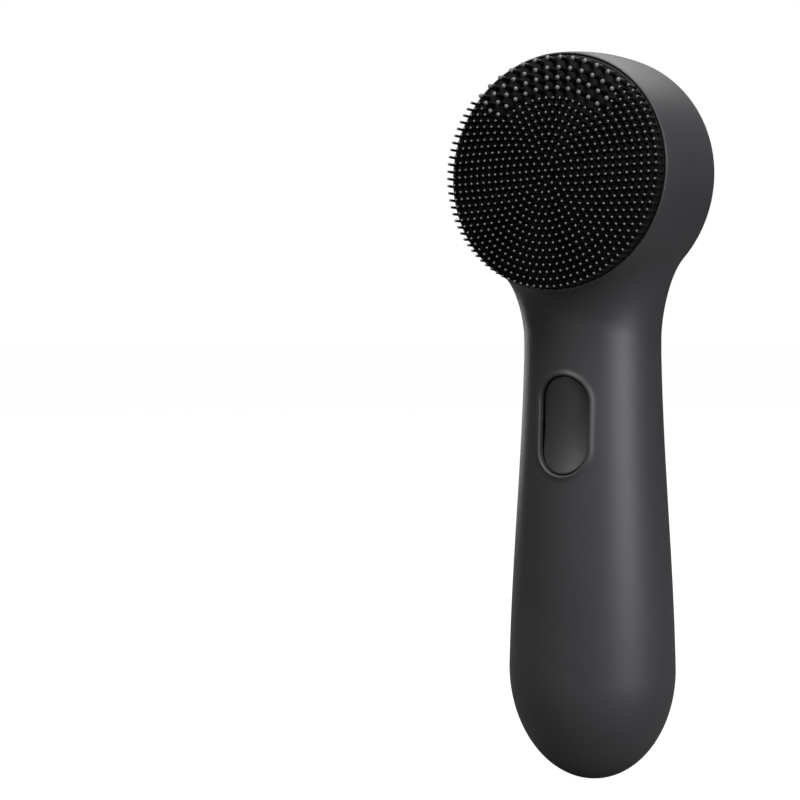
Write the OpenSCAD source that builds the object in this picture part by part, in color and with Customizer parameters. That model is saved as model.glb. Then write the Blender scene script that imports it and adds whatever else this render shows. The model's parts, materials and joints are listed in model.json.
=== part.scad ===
// Handheld facial cleansing brush: a club-shaped grip with a round silicone brush head.
// +Z runs up the grip, the brush face looks along -Y, and the origin is the centre of the base.

/* [Grip] */
// Radius of the grip at its fullest, near the base
grip_r = 19.15; // [18:0.05:20]
// Radius of the neck, at its slimmest
neck_r = 15.55; // [15:0.05:16]
// Height where the grip is fullest
grip_z = 25; // [24:1:28]
// Height where the neck is slimmest
neck_z = 98; // [94:1:100]
// Radius of the flat that the brush stands on
base_r = 4.5; // [3:0.5:6]

/* [Head] */
// Height of the centre of the brush head
head_z = 137.2; // [136:0.1:139]
// Radius of the head at its widest
head_r = 27.7; // [27:0.1:28]
// Radius of the rim around the brush pad
rim_r = 25.4; // [25:0.1:25.8]
// Distance of the rim in front of the grip's axis
face_y = 19.5; // [19:0.1:20]
// Distance of the back of the dome behind the grip's axis
dome_y = 16; // [15.5:0.1:17]
// Radius of the fillet between the neck and the head
neck_fillet = 21; // [20:0.5:22]

/* [Walls] */
// Thickness of the soft sleeve
sleeve_t = 1.3; // [1.2:0.05:1.4]
// Thickness of the hard core shells
core_t = 1.5; // [1.4:0.05:1.6]
// Gap between the sleeve and the core
layer_gap = 0.1; // [0.05:0.01:0.15]

/* [Brush pad] */
// Radius of the silicone pad
pad_r = 24.75; // [24.5:0.05:24.8]
// Height of the pad's crown above its edge
pad_crown = 1.65; // [1.2:0.05:2]
// Length of the bristles
bristle_l = 3.2; // [2.8:0.1:3.4]
// Radius of the field of bristles
field_r = 23.6; // [23:0.1:24]

/* [Button] */
// Height of the centre of the button
button_z = 82.4; // [82:0.1:83]
// Length of the opening for the button
button_l = 22; // [21:0.1:22.5]
// Width of the opening for the button
button_w = 11.7; // [11:0.1:12]
// Distance that the button travels
button_travel = 0.5; // [0.3:0.1:0.6]

/* [Rear inlay] */
// Height of the lower end of the inlay
inlay_z0 = 21.5; // [21.4:0.1:21.8]
// Height of the upper end of the inlay
inlay_z1 = 73.3; // [72:0.1:74]
// Width of the inlay
inlay_w = 21; // [20.5:0.1:21.5]
// Height of the joint between the glossy panel and the port flap
flap_z = 36; // [35.5:0.1:36.5]
// Depth of the glossy panel below the sleeve's surface
panel_sink = 0.6; // [0.4:0.05:0.7]

/* [Battery] */
// Radius of the rechargeable cell
cell_r = 7; // [6.8:0.1:7]
// Length of the rechargeable cell
cell_l = 49.2; // [48:0.1:49.5]

/* [Motor] */
// Radius of the motor's can
motor_r = 6; // [5.5:0.1:6]
// Length of the motor's can
motor_l = 22; // [21:0.5:22]
// Radius of the motor's shaft
shaft_r = 0.75; // [0.7:0.05:0.8]

/* [Hidden] */

round_n = 96;                    // facets asked of large round surfaces
small_n = 40;                    // facets asked of small round surfaces
far = 60;                        // longer than any cut needs to be
lip = 0.01;                      // overlap that joins solids of one piece

core_off = sleeve_t + layer_gap;         // depth of the core's outer surface
cavity_off = core_off + core_t;          // depth of the core's inner surface
base_ratio = sqrt(1 - pow(base_r / grip_r, 2));
cap_b = grip_z / base_ratio;             // half height of the ellipse of the rounded base
widest_y = 0.7;                          // the head is widest just behind the grip's axis
dome_power = 2.1;                        // squareness of the dome's outline
wall_bulge = 0.5;                        // how far the head's side wall bows outward

pad_y = 17.9;                            // back of the pad
plate_y = 17.85;                         // front of the pad's plate
plate_t = 1.2;
gasket_t = 0.55;
seat_y = 16;                             // front of the core's brush seat
seat_hole_r = 17;                        // opening in the core's seat for the vibrating plate
seat_open_r = 23.5;                      // opening in the sleeve behind the pad
boss_x = 10;                             // cradle bosses, to each side of the head's centre
boss_z = 8;                              // cradle bosses, above and below the head's centre
boss_r = 2.4;
cradle_y = 13.9;                         // front of the cradle's base plate
cradle_t = 1.5;

motor_y = -4.5;                          // the motor's axis is upright, in the head
motor_z = 121;                           // lower end of the can
can_t = 0.6;
end_cap_t = 1.5;
bush_r = 2.2;
shaft_fit = 0.05;                        // radial clearance of the shaft in its bushes
shaft_z0 = 118.2;
shaft_z1 = 153;
weight_z = 145.5;
weight_h = 7;
weight_r = 5.4;

board_y = -7.2;                          // front of the main board
board_t = 1.2;
switch_t = 2.2;
plunger_r = 1.6;
plunger_y = -10;                         // tip of the switch's plunger

cell_y = 2.2;                            // the cell's axis, behind the grip's axis
cell_z = 44.5;
carrier_r = 8.3;

charge_y = 9;                            // front of the charging board
socket_z = 29;
socket_y = 17;                           // mouth of the charging socket

pin_y = 18.5;                            // hinge of the port flap
pin_z = 22.35;
pin_r = 0.25;
pin_fit = 0.05;
knuckle_r = 0.5;
knuckle_w = 3;
ear_x0 = 1.6;                            // the ears hold the pin, to each side of the knuckle
ear_x1 = 2.5;
ear_y0 = 17;
ear_y1 = 18.9;
ear_half = 0.48;

lead_r = 0.5;

// ---- outlines -------------------------------------------------------------

// Share of the way from the neck to the fullest grip
function swell(t) = (t + pow(sin(90 * t), 2)) / 2;
function grip_radius(z) =
    neck_r + (grip_r - neck_r) * swell(min(1, max(0, (neck_z - z) / (neck_z - grip_z))));
function cap_point(a, off) = [
    (grip_r - off) * cos(a),
    grip_z - (cap_b - off) * sin(a)
];
base_angle = acos(base_r / grip_r);
// The inner layers keep a flat floor too, at the same angle round the ellipse
function cap_points(off, steps) = [
    for (i = [0 : steps - 1]) cap_point(base_angle * (1 - i / steps), off)
];
function grip_points(off, steps, top) = [
    for (i = [0 : steps])
        let (z = grip_z + (neck_z - grip_z) * i / steps)
        [grip_radius(z) - off, z],
    [neck_r - off, top]
];

module grip_solid(off = 0, top = 128) {
    points = concat(cap_points(off, 9), grip_points(off, 10, top));
    rotate_extrude($fn = round_n)
        polygon(concat([[0, points[0][1]]], points, [[0, top]]));
}

// Radius of the head's side wall at a share t of the way from the rim to the widest circle
function wall_radius(t) = rim_r + (head_r - rim_r) * t + 4 * wall_bulge * t * (1 - t);
function wall_points(off, front, steps) = [
    for (i = [0 : steps])
        let (y = -front + (widest_y + front) * i / steps)
        [wall_radius((y + face_y) / (widest_y + face_y)) - off, y]
];
function dome_points(off, steps) = [
    for (i = [1 : steps - 1])
        let (a = 90 * i / steps)
        [(head_r - off) * pow(cos(a), 2 / dome_power),
         widest_y + (dome_y - widest_y - off) * pow(sin(a), 2 / dome_power)]
];

module head_solid(off = 0, front = face_y) {
    points = concat(wall_points(off, front, 4), dome_points(off, 9));
    translate([0, 0, head_z])
        rotate([-90, 0, 0])
            rotate_extrude($fn = round_n)
                polygon(concat([[0, -front]], points, [[0, dome_y - off]]));
}

// The concave flare that blends the neck into the head, as wide as the head is deep
flare_x = neck_r + neck_fillet;
flare_z = head_z - sqrt(pow(head_r + neck_fillet, 2) - pow(flare_x, 2));
flare_end = asin((head_z - flare_z) / (head_r + neck_fillet));
function flare_points(off, steps) = [
    for (i = [0 : steps])
        let (a = flare_end * i / steps)
        [flare_x - (neck_fillet + off) * cos(a), flare_z + (neck_fillet + off) * sin(a)]
];

module flare_solid(off = 0, front = face_y) {
    points = flare_points(off, 7);
    last = points[len(points) - 1];
    back = neck_r - off - 0.6;
    intersection() {
        rotate_extrude($fn = round_n)
            polygon(concat([[0, points[0][1]]], points, [[0, last[1]]]));
        translate([-far / 2, -front + lip, 80])
            cube([far, front - lip + back, far]);
    }
}

// The whole outer form, shrunk by off, with the face plane at front
module body_solid(off = 0, front = face_y) {
    union() {
        grip_solid(off);
        head_solid(off, front);
        flare_solid(off, min(front, face_y - off));
    }
}

// An upright slot shape of length l and width w, extruded along Y from y0 to y1
module slot_prism(l, w, z, y0, y1) {
    translate([0, y1, z])
        rotate([90, 0, 0])
            linear_extrude(y1 - y0)
                union() {
                    square([w, l - w], center = true);
                    translate([0, (l - w) / 2]) circle(d = w, $fn = small_n);
                    translate([0, -(l - w) / 2]) circle(d = w, $fn = small_n);
                }
}

// A round bar along Y
module y_bar(r, x, z, y0, y1, n = small_n) {
    translate([x, y0, z])
        rotate([-90, 0, 0])
            cylinder(r = r, h = y1 - y0, $fn = n);
}

// A round bar along X, centred on the middle plane
module x_bar(r, w, y, z) {
    translate([-w / 2, y, z])
        rotate([0, 90, 0])
            cylinder(r = r, h = w, $fn = small_n);
}

// A block given by its low corner and its high corner
module block(a, b) {
    translate(a) cube(b - a);
}

inlay_l = inlay_z1 - inlay_z0;
inlay_mid = (inlay_z0 + inlay_z1) / 2;
module inlay_prism(shrink, y0 = 1) {
    slot_prism(inlay_l - 2 * shrink, inlay_w - 2 * shrink, inlay_mid, y0, 30);
}

// ---- outer sleeve and core shells --------------------------------------------

module outer_sleeve() color([0.16, 0.16, 0.17]) {
    difference() {
        union() {
            body_solid(0);
            intersection() {
                slot_prism(button_l + 2.9, button_w + 1.6, button_z, -30, -8);
                grip_solid(-0.3);
            }
        }
        body_solid(sleeve_t, pad_y - 0.9);
        y_bar(pad_r + 0.15, 0, head_z, -30, -pad_y + 0.03, round_n);
        y_bar(seat_open_r, 0, head_z, -30, -10, round_n);
        slot_prism(button_l, button_w, button_z, -30, -5);
        inlay_prism(0);
    }
}

screw_spots = [[11, neck_z], [13.4, 54]];
screw_half = 4.2;                        // length of a screw boss on each side of the split
screw_r = 0.85;
screw_head_r = 1.7;
screw_head_h = 1.15;
core_gap = 0.1;                          // the rear core starts this far behind the split
module at_core_screws() {
    for (spot = screw_spots)
        for (side = [-1, 1])
            translate([side * spot[0], 0, spot[1]])
                children();
}

module core_front() color([0.2, 0.2, 0.21]) {
    difference() {
        union() {
            difference() {
                body_solid(core_off, seat_y);
                body_solid(cavity_off, seat_y - core_t);
            }
            at_core_screws() y_bar(2, 0, 0, -screw_half, 0);
        }
        block([-far, core_gap / 2, -1], [far, far, 200]);
        y_bar(seat_hole_r, 0, head_z, -30, -8, round_n);
        slot_prism(button_l, button_w, button_z, -30, -5);
        at_core_screws() y_bar(0.9, 0, 0, -screw_half + 0.8, 1);
    }
}

module core_rear() color([0.2, 0.2, 0.21]) {
    difference() {
        union() {
            intersection() {
                difference() {
                    body_solid(core_off, seat_y);
                    body_solid(cavity_off, seat_y - core_t);
                }
                block([-far, core_gap, -1], [far, far, 200]);
            }
            at_core_screws() y_bar(2, 0, 0, core_gap, screw_half);
            for (x = [-ear_x1, ear_x0])
                block([x, ear_y0, pin_z - ear_half], [x + ear_x1 - ear_x0, ear_y1, pin_z + ear_half]);
        }
        at_core_screws() y_bar(1.1, 0, 0, -1, screw_half + 1);
        at_core_screws() y_bar(screw_head_r + 0.15, 0, 0, screw_half + 0.02, screw_half + 1.6);
        block([-4.9, 10, socket_z - 2], [4.9, 25, socket_z + 2]);
        nail_notch(notch_y);
        x_bar(pin_r, 2 * ear_x1 + 1, pin_y, pin_z);
    }
}

module core_screws() color([0.7, 0.7, 0.72]) {
    at_core_screws() {
        y_bar(screw_r, 0, 0, -screw_half + 1.2, screw_half + 0.1);
        y_bar(screw_head_r, 0, 0, screw_half + 0.05, screw_half + screw_head_h);
    }
}

// ---- brush pad -------------------------------------------------------------

// The pad with its crowned front, and the space that its bristles fill
crown_r = (pow(pad_r, 2) + pow(pad_crown, 2)) / (2 * pad_crown);
pad_edge_y = 19.4;
function crown_height(r) = sqrt(pow(crown_r, 2) - pow(r, 2)) - crown_r + pad_crown;
module brush_pad() color([0.05, 0.05, 0.055]) {
    steps = 6;
    tips = [
        for (i = [0 : steps])
            let (r = field_r * i / steps)
            [r, pad_edge_y + bristle_l + crown_height(r)]
    ];
    translate([0, 0, head_z])
        rotate([90, 0, 0])
            rotate_extrude($fn = round_n)
                polygon(concat(
                    [[0, pad_y]], tips,
                    [[field_r, pad_edge_y + crown_height(field_r)], [pad_r, pad_edge_y], [pad_r, pad_y]]
                ));
}

module at_cradle_bosses() {
    for (x = [-boss_x, boss_x])
        for (z = [-boss_z, boss_z])
            translate([x, 0, head_z + z])
                children();
}

module pad_plate() color([0.85, 0.85, 0.83]) {
    difference() {
        union() {
            y_bar(23.3, 0, head_z, -plate_y, -plate_y + plate_t, round_n);
            at_cradle_bosses() y_bar(boss_r, 0, 0, -plate_y + plate_t - lip, -cradle_y - 0.05);
        }
        at_cradle_bosses() y_bar(0.9, 0, 0, -plate_y + 0.5, -cradle_y + 1);
    }
}

module head_gasket() color([0.3, 0.3, 0.32]) {
    y0 = -plate_y + plate_t + 0.02;
    difference() {
        y_bar(22.3, 0, head_z, y0, y0 + gasket_t, round_n);
        y_bar(18.5, 0, head_z, y0 - 1, y0 + gasket_t + 1, round_n);
    }
}

// ---- vibration motor -------------------------------------------------------

ring_levels = [124, 137];
ring_h = 4;
ring_r = 7.4;
cradle_r = 9;
module at_motor_axis(z) {
    translate([0, motor_y, z]) children();
}

module motor_cradle() color([0.9, 0.9, 0.88]) {
    difference() {
        union() {
            block([-13, -cradle_y, head_z - 11], [13, -cradle_y + cradle_t, head_z + 11]);
            for (z = ring_levels) {
                at_motor_axis(z) cylinder(r = cradle_r, h = ring_h, $fn = small_n);
                block([-4, -cradle_y + 1, z], [4, motor_y - 5, z + ring_h]);
            }
        }
        for (z = ring_levels)
            at_motor_axis(z - 1) cylinder(r = ring_r + 0.05, h = ring_h + 2, $fn = small_n);
        at_cradle_bosses() y_bar(1.1, 0, 0, -cradle_y - 1, -cradle_y + cradle_t + 1);
    }
}

module cradle_screws() color([0.7, 0.7, 0.72]) {
    at_cradle_bosses() {
        y_bar(0.85, 0, 0, -plate_y + 1, -cradle_y + cradle_t + 0.1);
        y_bar(1.7, 0, 0, -cradle_y + cradle_t + 0.05, -cradle_y + cradle_t + 1.2);
    }
}

module motor_rings() color([0.25, 0.25, 0.27]) {
    for (z = ring_levels)
        difference() {
            at_motor_axis(z) cylinder(r = ring_r, h = ring_h, $fn = small_n);
            at_motor_axis(z - 1) cylinder(r = motor_r + 0.02, h = ring_h + 2, $fn = small_n);
        }
}

module motor_can() color([0.72, 0.72, 0.74]) {
    difference() {
        at_motor_axis(motor_z) cylinder(r = motor_r, h = motor_l, $fn = small_n);
        at_motor_axis(motor_z - 1) cylinder(r = motor_r - can_t, h = motor_l - 0.2, $fn = small_n);
        at_motor_axis(motor_z) cylinder(r = bush_r, h = motor_l + 2, $fn = small_n);
    }
}

module motor_end_cap() color([0.92, 0.9, 0.85]) {
    difference() {
        at_motor_axis(motor_z - end_cap_t - 0.02)
            cylinder(r = motor_r, h = end_cap_t, $fn = small_n);
        at_motor_axis(motor_z - end_cap_t - 1)
            cylinder(r = bush_r, h = end_cap_t + 3, $fn = small_n);
    }
}

module motor_bushes() color([0.8, 0.6, 0.3]) {
    for (z = [motor_z - end_cap_t - 0.02, motor_z + motor_l - 0.8])
        difference() {
            at_motor_axis(z) cylinder(r = bush_r - 0.02, h = 1.5, $fn = small_n);
            at_motor_axis(z - 1) cylinder(r = shaft_r + shaft_fit, h = 4, $fn = small_n);
        }
}

module motor_armature() color([0.75, 0.45, 0.2]) {
    difference() {
        at_motor_axis(motor_z + 3) cylinder(r = 4.2, h = motor_l - 8, $fn = small_n);
        at_motor_axis(motor_z) cylinder(r = shaft_r, h = motor_l, $fn = small_n);
    }
}

module motor_shaft() color([0.8, 0.8, 0.82]) {
    at_motor_axis(shaft_z0) cylinder(r = shaft_r, h = shaft_z1 - shaft_z0, $fn = small_n);
}

module eccentric_weight() color([0.65, 0.6, 0.5]) {
    difference() {
        at_motor_axis(weight_z) cylinder(r = weight_r, h = weight_h, $fn = small_n);
        translate([-far / 2, motor_y + 1.6, weight_z - 1]) cube([far, far, weight_h + 2]);
        at_motor_axis(weight_z - 1) cylinder(r = shaft_r, h = weight_h + 2, $fn = small_n);
    }
}

// A lead that runs upward: one eight-sided ring at each point of its route
lead_sides = 8;
module lead(route) {
    rings = len(route);
    points = [
        for (p = route)
            for (k = [0 : lead_sides - 1])
                p + lead_r * [cos(360 * k / lead_sides), sin(360 * k / lead_sides), 0]
    ];
    sides = [
        for (i = [0 : rings - 2])
            for (k = [0 : lead_sides - 1])
                let (n = (k + 1) % lead_sides, low = i * lead_sides, high = low + lead_sides)
                [low + k, high + k, high + n, low + n]
    ];
    bottom = [for (k = [0 : lead_sides - 1]) k];
    top = [for (k = [0 : lead_sides - 1]) rings * lead_sides - 1 - k];
    polyhedron(points, concat(sides, [bottom, top]));
}

module motor_leads() color([0.75, 0.1, 0.1]) {
    for (x = [-4, 4])
        lead([[x, -5.3, 104], [x, -5.3, 108], [x, -5, 112], [x, -4.6, 116], [x, -4.5, 119.4]]);
}

// ---- button, switch and boards ----------------------------------------------

seal_t = 0.5;
dish_r = 75;
dish_depth = 1.5;
module button_cap() color([0.17, 0.17, 0.18]) {
    dish_y = -(grip_radius(button_z) - dish_depth) - dish_r;
    difference() {
        union() {
            intersection() {
                slot_prism(button_l - 0.5, button_w - 0.5, button_z, -30, -6);
                grip_solid(0.5);
            }
            intersection() {
                slot_prism(button_l + 1.8, button_w + 1.8, button_z, -30, -6);
                grip_solid(cavity_off + 0.3);
            }
        }
        grip_solid(cavity_off + 1.2);
        translate([-far / 2, dish_y, button_z])
            rotate([0, 90, 0])
                cylinder(r = dish_r, h = far, $fn = 180);
    }
    y_bar(1.5, 0, button_z, -(grip_radius(button_z) - cavity_off - 1), plunger_y - 0.05);
}

// A soft ring behind the cap's flange keeps water out round the stem
module button_seal() color([0.35, 0.35, 0.37]) {
    seal_off = cavity_off + 2.3;
    difference() {
        intersection() {
            slot_prism(button_l + 1.2, button_w + 1.2, button_z, -30, -6);
            grip_solid(seal_off);
        }
        grip_solid(seal_off + seal_t);
        slot_prism(button_l - 5, button_w - 5, button_z, -30, -6);
    }
}

module switch_body() color([0.1, 0.1, 0.1]) {
    difference() {
        block([-3, board_y - switch_t, button_z - 3], [3, board_y, button_z + 3]);
        y_bar(plunger_r + 0.05, 0, button_z, board_y - switch_t - 1, board_y + 1);
    }
}

module switch_plunger() color([0.85, 0.85, 0.85]) {
    y_bar(plunger_r, 0, button_z, plunger_y, board_y - button_travel - 0.1);
}

module main_board() color([0.1, 0.35, 0.2]) {
    block([-8, board_y + 0.02, 57], [8, board_y + board_t, 108]);
}

module board_chips() color([0.08, 0.08, 0.08]) {
    front = board_y;
    block([-3, front - 1, 64], [3, front, 70]);
    block([-2, front - 0.8, 92], [4, front, 96]);
    block([-6, front - 0.9, 98], [-3, front, 103]);
    block([2, front - 1.4, 99], [6, front, 104]);
    block([-6.5, front - 0.6, 74], [-4, front, 77]);
}

module battery_cell() color([0.2, 0.45, 0.75]) {
    translate([0, cell_y, cell_z]) {
        cylinder(r = cell_r, h = cell_l, $fn = small_n);
        translate([0, 0, cell_l - lip]) cylinder(r = 2.6, h = 0.8, $fn = small_n);
    }
}

module battery_carrier() color([0.9, 0.9, 0.88]) {
    z0 = cell_z - 2;
    height = cell_l + 5;
    difference() {
        translate([0, cell_y, z0]) cylinder(r = carrier_r, h = height, $fn = small_n);
        translate([0, cell_y, cell_z - 0.6])
            cylinder(r = cell_r + 0.1, h = cell_l + 2.4, $fn = small_n);
        translate([-far / 2, cell_y - far - 2, z0 - 1]) cube([far, far, height + 2]);
    }
}

module battery_tabs() color([0.8, 0.8, 0.78]) {
    block([-2.5, cell_y - 4, cell_z - 0.5], [2.5, cell_y + 4, cell_z - 0.05]);
    block([-2.5, cell_y - 4, cell_z + cell_l + 0.85], [2.5, cell_y + 4, cell_z + cell_l + 1.3]);
}

module battery_foam() color([0.3, 0.3, 0.3]) {
    block([-4, cell_y + carrier_r + 0.1, 50], [4, 13.5, 66]);
}

module battery_leads() color([0.1, 0.1, 0.1]) {
    for (x = [-4.8, 4.8])
        lead([[x, -4.6, 46], [x, -4.8, 50], [x, -5.2, 57], [x, -5.3, 64]]);
}

// ---- rear inlay --------------------------------------------------------------

notch_r = 8.5;
notch_rise = 2.8;
notch_y = 16.5;
// The half-moon where a fingernail reaches behind the flap's upper edge, from y0 outward
module nail_notch(y0) {
    intersection() {
        y_bar(notch_r, 0, flap_z + notch_rise - notch_r, y0, 30, round_n);
        block([-20, y0 - 1, flap_z - 0.3], [20, 31, flap_z + 20]);
    }
}

module rear_panel() color([0.04, 0.04, 0.045]) {
    difference() {
        intersection() {
            inlay_prism(0.1);
            grip_solid(panel_sink);
        }
        grip_solid(sleeve_t + 0.05);
        block([-20, 0, 0], [20, 30, flap_z]);
        nail_notch(5);
    }
}

module charge_board() color([0.1, 0.35, 0.2]) {
    block([-8, charge_y, 24], [8, charge_y + 1, 40]);
}

socket_w = 9;
socket_h = 3.2;
socket_wall = 0.3;
module charging_socket() color([0.75, 0.75, 0.77]) {
    y0 = charge_y + 1.02;
    difference() {
        block([-socket_w / 2, y0, socket_z - socket_h / 2], [socket_w / 2, socket_y, socket_z + socket_h / 2]);
        block([-socket_w / 2 + socket_wall, y0 + 1, socket_z - socket_h / 2 + socket_wall],
              [socket_w / 2 - socket_wall, socket_y + 1, socket_z + socket_h / 2 - socket_wall]);
    }
    block([-3.3, y0 + 0.9, socket_z - 0.35], [3.3, socket_y - 1.6, socket_z + 0.35]);
}

module port_leads() color([0.1, 0.1, 0.1]) {
    for (side = [-1, 1])
        lead([
            [side * 7.2, 8.3, 36], [side * 9.6, 6, 42], [side * 9.8, 0, 48],
            [side * 9, -4.6, 54], [side * 7.2, -5.4, 60]
        ]);
}

plug_w = 7.8;
plug_h = 1.7;
flap_t = 1.1;                            // thinner than the sleeve, so it clears the core
swing_gap = 0.3;                         // room for the flap's ends as it swings
module port_flap() color([0.15, 0.15, 0.16]) {
    difference() {
        union() {
            difference() {
                intersection() {
                    inlay_prism(0.15);
                    grip_solid(0);
                    union() {
                        block([-20, 0, pin_z + swing_gap], [20, 30, flap_z - swing_gap]);
                        block([-knuckle_w / 2, 0, pin_z], [knuckle_w / 2, 30, flap_z - 1]);
                    }
                }
                grip_solid(flap_t);
                for (x = [-ear_x1 - 0.1, ear_x0 - 0.1])
                    block([x, 10, 0], [x + ear_x1 - ear_x0 + 0.2, 30, pin_z + ear_half + 0.2]);
            }
            x_bar(knuckle_r, knuckle_w, pin_y, pin_z);
            block([-plug_w / 2, socket_y - 1, socket_z - plug_h / 2], [plug_w / 2, 18.4, socket_z + plug_h / 2]);
        }
        x_bar(pin_r + pin_fit, knuckle_w + 2, pin_y, pin_z);
    }
}

module hinge_pin() color([0.8, 0.8, 0.82]) {
    x_bar(pin_r, 2 * ear_x1 - 0.1, pin_y, pin_z);
}

outer_sleeve();
core_front();
core_rear();
core_screws();
brush_pad();
pad_plate();
head_gasket();
motor_cradle();
cradle_screws();
motor_rings();
motor_can();
motor_end_cap();
motor_bushes();
motor_armature();
motor_shaft();
eccentric_weight();
motor_leads();
button_cap();
button_seal();
switch_body();
switch_plunger();
main_board();
board_chips();
battery_cell();
battery_carrier();
battery_tabs();
battery_foam();
battery_leads();
rear_panel();
charge_board();
charging_socket();
port_leads();
port_flap();
hinge_pin();
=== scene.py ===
"""Looks for the facial cleansing brush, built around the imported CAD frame.

Lengths are worked out in millimetres and turned into metres when a mesh is made. +Z runs up the
grip and the brush face looks along -Y.
"""

import json
import math

import bmesh
import bpy
import numpy as np
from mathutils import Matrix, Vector
from mathutils.geometry import delaunay_2d_cdt


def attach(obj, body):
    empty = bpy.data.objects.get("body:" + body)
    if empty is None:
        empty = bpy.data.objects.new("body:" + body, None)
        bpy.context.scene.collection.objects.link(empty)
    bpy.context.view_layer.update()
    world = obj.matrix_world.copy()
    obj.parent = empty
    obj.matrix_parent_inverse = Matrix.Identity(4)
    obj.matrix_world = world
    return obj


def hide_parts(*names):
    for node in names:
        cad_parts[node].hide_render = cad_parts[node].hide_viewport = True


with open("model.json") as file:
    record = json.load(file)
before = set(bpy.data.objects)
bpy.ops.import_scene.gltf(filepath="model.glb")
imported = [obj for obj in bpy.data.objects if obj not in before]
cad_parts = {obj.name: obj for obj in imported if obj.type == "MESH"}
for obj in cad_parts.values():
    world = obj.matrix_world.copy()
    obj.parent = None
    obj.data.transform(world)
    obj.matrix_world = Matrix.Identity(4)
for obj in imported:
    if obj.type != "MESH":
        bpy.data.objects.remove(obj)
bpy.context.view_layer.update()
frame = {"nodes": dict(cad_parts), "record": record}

MM = 0.001

# ---- sizes in millimetres --------------------------------------------------------------------
# They are the CAD's, but for the pad: its crown is flatter here and its bristles are longer.

GRIP_R, NECK_R, GRIP_Z, NECK_Z, BASE_R = 19.15, 15.55, 25.0, 98.0, 4.5
HEAD_Z, HEAD_R, RIM_R, FACE_Y, DOME_Y = 137.2, 27.7, 25.4, 19.5, 16.0
WIDEST_Y, DOME_POWER, WALL_BULGE = 0.7, 2.1, 0.5
SIDE_FILLET, FRONT_FILLET = 21.0, 6.5
NECK_TOP = 132.0  # from here up the neck is inside the head and narrows
SLEEVE_T = 1.3
CAP_B = GRIP_Z / math.sqrt(1 - (BASE_R / GRIP_R) ** 2)

PAD_R, PAD_BACK, PAD_EDGE, PAD_CROWN = 24.85, 17.9, 19.4, 0.9
PAD_SEAT_R = 23.5
BRISTLE_L, RING_PITCH, RINGS = 3.9, 1.53, 16
FINE_R, THICK_R, BRISTLE_TAPER = 0.30, 0.54, 0.95
# The sector of thick bristles: where it starts, half its angle, and its rows as radius, number of
# bristles and half angle.
SECTOR_R, SECTOR_HALF = 16.3, 45.7
THICK_ROWS = [(17.4, 11, 42), (19.5, 13, 44.5), (21.6, 13, 43.3), (23.75, 13, 42.8)]

FIT = 0.12  # between a fitted piece and its seat
BUTTON_Z, BUTTON_L, BUTTON_W = 82.4, 22.0, 11.7
BUTTON_GAP, BUTTON_DISH, BUTTON_RISE = 0.15, 1.95, 1.75
INLAY_Z0, INLAY_Z1, INLAY_W = 21.5, 73.3, 21.0
FLAP_Z, PANEL_SINK, SEAM, FLAP_GAP = 36.0, 0.6, 0.02, 0.3
NOTCH_R, NOTCH_RISE = 8.5, 2.8
NOTCH_Z = FLAP_Z + NOTCH_RISE - NOTCH_R
PIN_Y, PIN_Z = 18.5, 22.35
MARK_Z, MARK_W, MARK_H, MARK_LINE = 30.0, 11.0, 4.3, 0.42


# ---- mesh tools ------------------------------------------------------------------------------


def add_object(name, verts, faces, materials, smooth=True, slots=None, sharp=None):
    """A mesh object from millimetres. slots gives a material number for each face."""
    mesh = bpy.data.meshes.new(name)
    mesh.from_pydata((np.asarray(verts, float) * MM).tolist(), [], faces)
    for material in materials:
        mesh.materials.append(material)
    if slots is not None:
        mesh.polygons.foreach_set("material_index", slots)
    mesh.polygons.foreach_set("use_smooth", [smooth] * len(mesh.polygons))
    mesh.update()
    if sharp is not None:
        mesh.set_sharp_from_angle(angle=math.radians(sharp))
    obj = bpy.data.objects.new(name, mesh)
    bpy.context.scene.collection.objects.link(obj)
    return obj


class Mesh:
    """Vertices and faces that are added to in turn."""

    def __init__(self):
        self.verts, self.faces = [], []

    def points(self, pts):
        start = len(self.verts)
        self.verts.extend([float(p[0]), float(p[1]), float(p[2])] for p in pts)
        return list(range(start, len(self.verts)))

    def strip(self, a, b, closed=True):
        """Quads between two loops of the same length."""
        n = len(a)
        for i in range(n if closed else n - 1):
            j = (i + 1) % n
            self.faces.append([a[i], a[j], b[j], b[i]])

    def strips(self, loops, closed=True):
        for a, b in zip(loops, loops[1:]):
            self.strip(a, b, closed)


# ---- the body's form -------------------------------------------------------------------------


def grip_radius(z):
    """Radius of the grip, with its rounded base below and the straight neck above."""
    z = np.asarray(z, float)
    t = np.clip((NECK_Z - z) / (NECK_Z - GRIP_Z), 0, 1)
    shaft = NECK_R + (GRIP_R - NECK_R) * (t + np.sin(np.pi / 2 * t) ** 2) / 2
    base = GRIP_R * np.sqrt(np.clip(1 - ((GRIP_Z - z) / CAP_B) ** 2, 0, 1))
    top = np.clip(z - NECK_TOP, 0, None) ** 2 / 16
    return np.where(z < GRIP_Z, base, shaft) - top


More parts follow.
